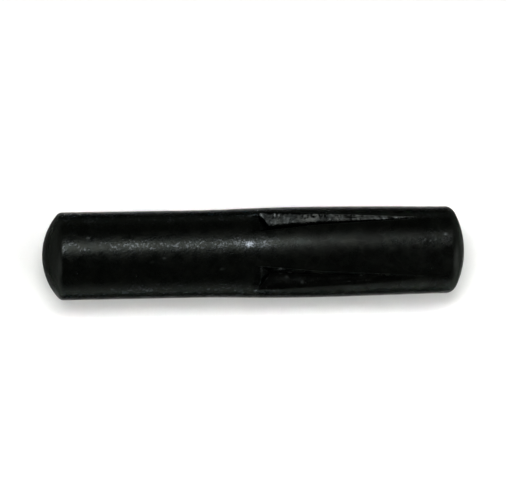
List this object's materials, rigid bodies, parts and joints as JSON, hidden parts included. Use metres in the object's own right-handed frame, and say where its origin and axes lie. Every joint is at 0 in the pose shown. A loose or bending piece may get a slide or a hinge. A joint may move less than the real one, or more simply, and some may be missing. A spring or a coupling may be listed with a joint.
{
  "type": "grooved pin",
  "caption": "Solid steel locating pin, plain on one half, with tapered V grooves pressed along the other half and domed ends.",
  "frame": {"origin": "centre of the pin's box, on its axis at mid-length", "axes": "+X along the pin, from the plain half to the grooved half; the grooves stand in two opposed pairs, one pair about +Z and one about -Z, so that the pin lies on the plain metal between the lower two"},
  "size_m": [0.0486, 0.0104, 0.0104],
  "materials": {
    "black_oxide_steel": "black oxide, lightly oiled, with fine pits and a satin sheen"
  },
  "bodies": {
    "root": {"grooved_pin": "black_oxide_steel"}
  },
  "joints": []
}
